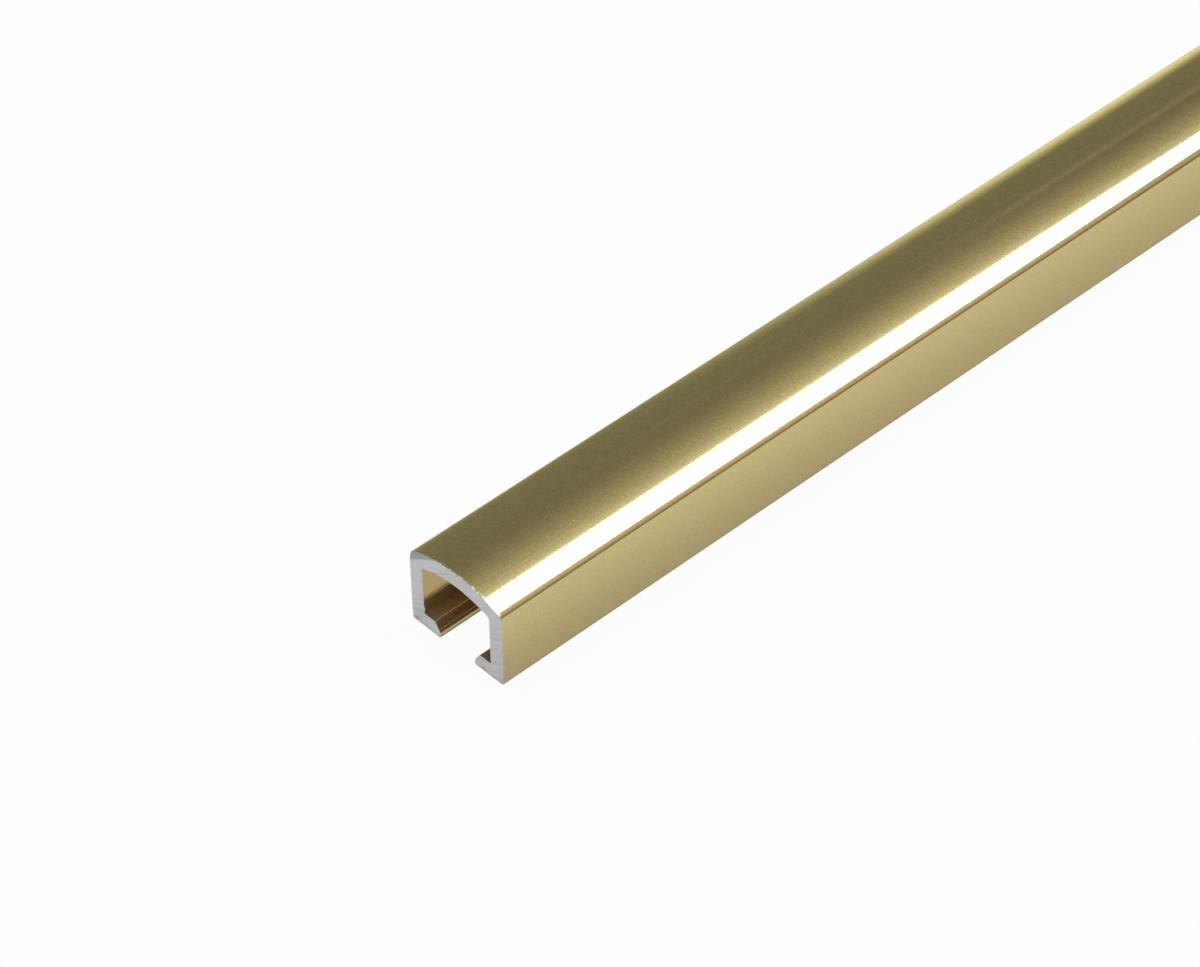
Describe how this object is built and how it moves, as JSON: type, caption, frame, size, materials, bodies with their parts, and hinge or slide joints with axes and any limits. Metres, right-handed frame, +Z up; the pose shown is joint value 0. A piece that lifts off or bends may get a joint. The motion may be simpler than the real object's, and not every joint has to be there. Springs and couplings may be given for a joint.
{
  "type": "aluminium channel profile",
  "caption": "Extruded aluminium channel with a crowned top, gold anodised, and a bevelled slot along its underside between inward lips.",
  "frame": {"origin": "on the floor, under the middle of the length and of the width", "axes": "+Y along the extruded length, towards the far sawn end; +X across the width; +Z up, out of the crown, with the slot facing down"},
  "size_m": [0.015, 1, 0.012],
  "materials": {
    "gold_anodised": "bright pale gold anodised, bare sawn metal at both ends"
  },
  "bodies": {
    "root": {"channel_profile": "gold_anodised"}
  },
  "joints": []
}
